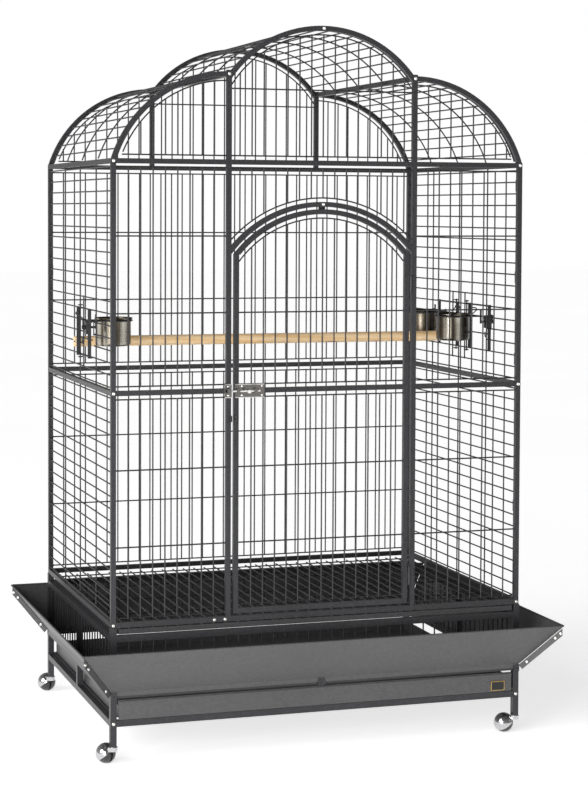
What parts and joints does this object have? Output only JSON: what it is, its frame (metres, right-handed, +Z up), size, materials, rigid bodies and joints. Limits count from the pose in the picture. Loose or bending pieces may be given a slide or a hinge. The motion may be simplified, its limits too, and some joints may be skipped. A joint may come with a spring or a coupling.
{
  "type": "bird cage on stand",
  "caption": "Large parrot cage of welded wire with a three-lobed dome, arched front door, swing-out feeder cups, perch, pull-out grille and tray, seed guards and ball casters.",
  "frame": {"origin": "on the floor under the middle of the cage, at the bottom centre of the bounding box", "axes": "+Z up, front door faces -Y, +X to the right seen from the front"},
  "size_m": [1.2986, 1.0014, 1.8673],
  "materials": {
    "powder_coat": "hammertone powder coat, satin",
    "guard_coat": "speckled powder coat, satin",
    "zinc": "bright zinc plate",
    "stainless": "polished stainless",
    "pine": "bare pine",
    "caster_chrome": "chrome plate",
    "ball_plastic": "gloss black"
  },
  "bodies": {
    "cage": {"front_frame": "powder_coat", "back_frame": "powder_coat", "left_frame": "powder_coat", "right_frame": "powder_coat", "front_arches": "powder_coat", "back_arches": "powder_coat", "valley_rails": "powder_coat", "front_bars": "powder_coat", "transom_bars": "powder_coat", "front_dome_bars": "powder_coat", "back_bars": "powder_coat", "back_dome_bars": "powder_coat", "left_bars": "powder_coat", "right_bars": "powder_coat", "roof_bars": "powder_coat", "roof_hoops": "powder_coat", "post_hinges": "powder_coat", "latch_keeper": "zinc", "panel_brackets": "powder_coat", "perch": "pine", "bolts": "zinc", "stand_legs": "powder_coat", "stand_rails": "powder_coat", "apron_bars": "powder_coat", "runners": "powder_coat", "guard_front": "guard_coat", "guard_back": "guard_coat", "guard_left": "guard_coat", "guard_right": "guard_coat", "guard_straps": "guard_coat", "caster_stems": "caster_chrome"},
    "door": {"door_frame": "powder_coat", "door_arch": "powder_coat", "door_bars": "powder_coat", "door_hinges": "powder_coat", "latch_plate": "zinc", "door_padlock_tab": "powder_coat"},
    "latch_bolt": {"latch_bolt": "zinc"},
    "tray": {"tray": "guard_coat"},
    "floor_grille": {"floor_grille": "powder_coat"},
    "feeder_left_front": {"feeder_door_left_front": "powder_coat", "cup_holder_left_front": "powder_coat"},
    "feeder_lock_left_front": {"feeder_lock_left_front": "zinc"},
    "cup_left_front": {"cup_left_front": "stainless"},
    "feeder_right_front": {"feeder_door_right_front": "powder_coat", "cup_holder_right_front": "powder_coat"},
    "feeder_lock_right_front": {"feeder_lock_right_front": "zinc"},
    "cup_right_front": {"cup_right_front": "stainless"},
    "feeder_right_back": {"feeder_door_right_back": "powder_coat", "cup_holder_right_back": "powder_coat"},
    "feeder_lock_right_back": {"feeder_lock_right_back": "zinc"},
    "cup_right_back": {"cup_right_back": "stainless"},
    "caster_left_front": {"caster_hood_left_front": "caster_chrome"},
    "ball_left_front": {"caster_ball_left_front": "ball_plastic"},
    "caster_left_back": {"caster_hood_left_back": "caster_chrome"},
    "ball_left_back": {"caster_ball_left_back": "ball_plastic"},
    "caster_right_front": {"caster_hood_right_front": "caster_chrome"},
    "ball_right_front": {"caster_ball_right_front": "ball_plastic"},
    "caster_right_back": {"caster_hood_right_back": "caster_chrome"},
    "ball_right_back": {"caster_ball_right_back": "ball_plastic"}
  },
  "joints": [
    {"name": "door_swing", "type": "hinge", "parent": "cage", "child": "door", "pos_m": [0.24113, -0.4106, 0.8225], "axis": [0, 0, 1], "range_deg": [0, 170]},
    {"name": "latch_bolt_slide", "type": "slide", "parent": "door", "child": "latch_bolt", "axis": [-1, 0, 0], "range_m": [0, 0.014]},
    {"name": "tray_slide", "type": "slide", "parent": "cage", "child": "tray", "axis": [0, -1, 0], "range_m": [0, 0.6]},
    {"name": "grille_slide", "type": "slide", "parent": "cage", "child": "floor_grille", "axis": [0, -1, 0], "range_m": [0, 0.6]},
    {"name": "feeder_swing_left_front", "type": "hinge", "parent": "cage", "child": "feeder_left_front", "pos_m": [-0.55605, -0.038, 1.073], "axis": [0, 0, -1], "range_deg": [0, 90]},
    {"name": "feeder_lock_turn_left_front", "type": "hinge", "parent": "feeder_left_front", "child": "feeder_lock_left_front", "pos_m": [-0.5598, -0.16845, 1.09], "axis": [1, 0, 0], "range_deg": [0, 90]},
    {"name": "cup_lift_left_front", "type": "slide", "parent": "feeder_left_front", "child": "cup_left_front", "axis": [0, 0, 1], "range_m": [0, 0.08]},
    {"name": "feeder_swing_right_front", "type": "hinge", "parent": "cage", "child": "feeder_right_front", "pos_m": [0.55605, -0.038, 1.073], "axis": [0, 0, 1], "range_deg": [0, 90]},
    {"name": "feeder_lock_turn_right_front", "type": "hinge", "parent": "feeder_right_front", "child": "feeder_lock_right_front", "pos_m": [0.5598, -0.16845, 1.09], "axis": [1, 0, 0], "range_deg": [0, 90]},
    {"name": "cup_lift_right_front", "type": "slide", "parent": "feeder_right_front", "child": "cup_right_front", "axis": [0, 0, 1], "range_m": [0, 0.08]},
    {"name": "feeder_swing_right_back", "type": "hinge", "parent": "cage", "child": "feeder_right_back", "pos_m": [0.55605, 0.038, 1.073], "axis": [0, 0, -1], "range_deg": [0, 90]},
    {"name": "feeder_lock_turn_right_back", "type": "hinge", "parent": "feeder_right_back", "child": "feeder_lock_right_back", "pos_m": [0.5598, 0.16845, 1.09], "axis": [-1, 0, 0], "range_deg": [0, 90]},
    {"name": "cup_lift_right_back", "type": "slide", "parent": "feeder_right_back", "child": "cup_right_back", "axis": [0, 0, 1], "range_m": [0, 0.08]},
    {"name": "caster_swivel_left_front", "type": "hinge", "parent": "cage", "child": "caster_left_front", "pos_m": [-0.5498, -0.40125, 0.04], "axis": [0, 0, 1], "continuous": true},
    {"name": "caster_roll_left_front", "type": "hinge", "parent": "caster_left_front", "child": "ball_left_front", "pos_m": [-0.56163, -0.37587, 0.02489], "axis": [0.9063, 0.4226, 0], "continuous": true},
    {"name": "caster_swivel_left_back", "type": "hinge", "parent": "cage", "child": "caster_left_back", "pos_m": [-0.5498, 0.40125, 0.04], "axis": [0, 0, 1], "continuous": true},
    {"name": "caster_roll_left_back", "type": "hinge", "parent": "caster_left_back", "child": "ball_left_back", "pos_m": [-0.5561, 0.42853, 0.02489], "axis": [0.9744, 0.225, 0], "continuous": true},
    {"name": "caster_swivel_right_front", "type": "hinge", "parent": "cage", "child": "caster_right_front", "pos_m": [0.5498, -0.40125, 0.04], "axis": [0, 0, 1], "continuous": true},
    {"name": "caster_roll_right_front", "type": "hinge", "parent": "caster_right_front", "child": "ball_right_front", "pos_m": [0.52555, -0.38725, 0.02489], "axis": [0.5, 0.866, 0], "continuous": true},
    {"name": "caster_swivel_right_back", "type": "hinge", "parent": "cage", "child": "caster_right_back", "pos_m": [0.5498, 0.40125, 0.04], "axis": [0, 0, 1], "continuous": true},
    {"name": "caster_roll_right_back", "type": "hinge", "parent": "caster_right_back", "child": "ball_right_back", "pos_m": [0.5307, 0.42173, 0.02489], "axis": [0.7314, 0.682, 0], "continuous": true}
  ]
}
